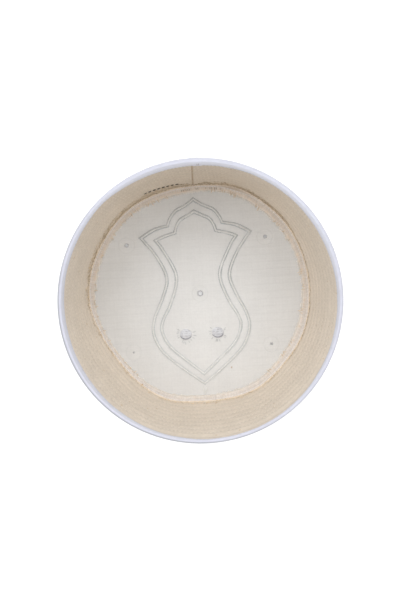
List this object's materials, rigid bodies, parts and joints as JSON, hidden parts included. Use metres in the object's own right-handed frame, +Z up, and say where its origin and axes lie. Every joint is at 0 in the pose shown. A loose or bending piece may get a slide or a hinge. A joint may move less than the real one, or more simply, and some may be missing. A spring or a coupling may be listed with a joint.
{
  "type": "felt prayer cap",
  "caption": "Round stiff felt prayer cap with a flat crown, flared side wall, folded rim tape, vent holes and an embroidered sandal outline, standing on its crown.",
  "frame": {"origin": "centre of the underside's bounding box: the middle of the crown's outside face, on which the cap stands", "axes": "+Z up, out of the head opening; +Y towards the back seam; +X to the right with the back seam away"},
  "size_m": [0.189, 0.189, 0.088],
  "materials": {
    "beige_backed_felt": "stiff felt with a woven beige backing, quilted in rows",
    "white_felt": "stiff felt with an off-white woven backing",
    "white_tape": "smooth folded cotton tape",
    "overlock_thread": "overlocked raw edge"
  },
  "bodies": {
    "root": {"side_band": "beige_backed_felt", "crown_panel": "white_felt", "rim_binding": "white_tape", "crown_seam_edge": "overlock_thread"}
  },
  "joints": []
}
